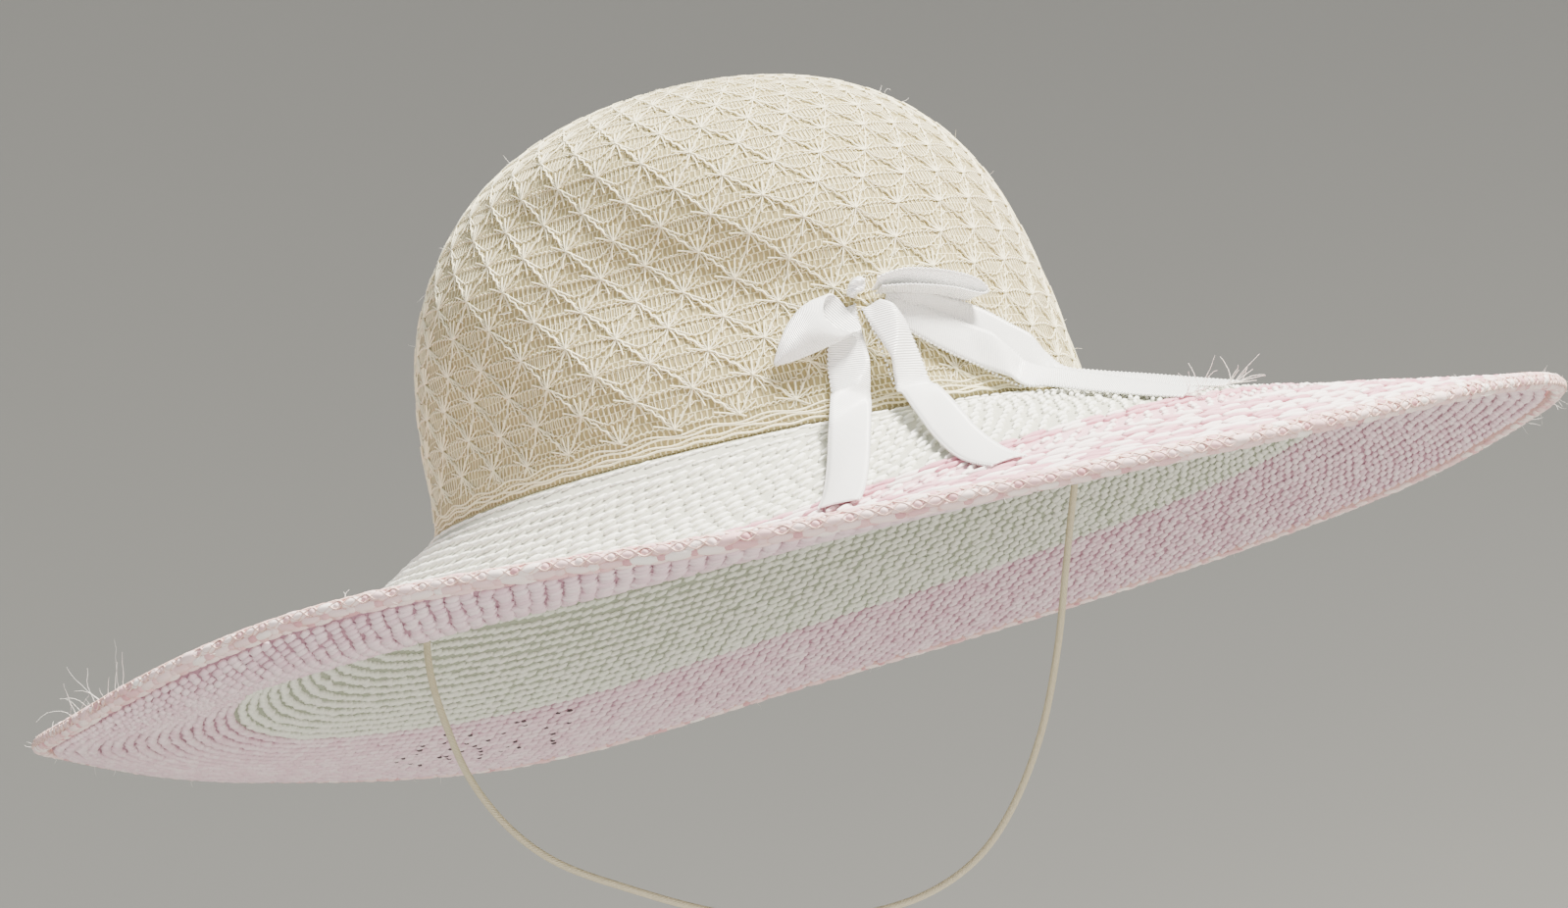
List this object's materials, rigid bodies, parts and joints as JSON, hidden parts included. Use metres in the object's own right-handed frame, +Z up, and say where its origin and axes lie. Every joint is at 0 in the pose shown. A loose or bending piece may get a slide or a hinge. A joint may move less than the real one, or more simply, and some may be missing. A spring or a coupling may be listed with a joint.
{
  "type": "summer sun hat with chin elastic",
  "caption": "Soft wide-brimmed summer hat with a rounded lace-knit crown, a thick stitched rim edge, a satin ribbon bow on the crown's foot and a thin round chin elastic hanging below.",
  "frame": {"origin": "Middle of the head opening at the foot of the crown, where the hat sits on a head.", "axes": "+Z up through the top of the crown, +X towards the side where the bow's long ribbons run, -Y towards the side that the bow sits on (it is 22 degrees round from -Y towards +X). The chin elastic is fixed at the -X and +X sides of the opening."},
  "size_m": [0.4266, 0.4117, 0.2345],
  "materials": {
    "ivory_lace_knit": "ivory cotton lace knit, dense pattern of small stars and scallops",
    "cotton_yarn": "knitted cotton yarn, pink in the brim's outer half and at the rim, white by the crown",
    "satin_ribbon": "white satin with dotted picot edges",
    "elastic_cord": "beige covered elastic"
  },
  "bodies": {
    "root": {"crown": "ivory_lace_knit", "brim": "cotton_yarn", "rim_edge": "cotton_yarn", "bow_knot": "satin_ribbon", "bow_loop_left": "satin_ribbon", "bow_loop_right": "satin_ribbon", "tail_left": "satin_ribbon", "tail_right": "satin_ribbon", "streamer_front": "satin_ribbon", "streamer_back": "satin_ribbon", "chin_elastic": "elastic_cord", "elastic_knot_left": "elastic_cord", "elastic_knot_right": "elastic_cord"}
  },
  "joints": []
}
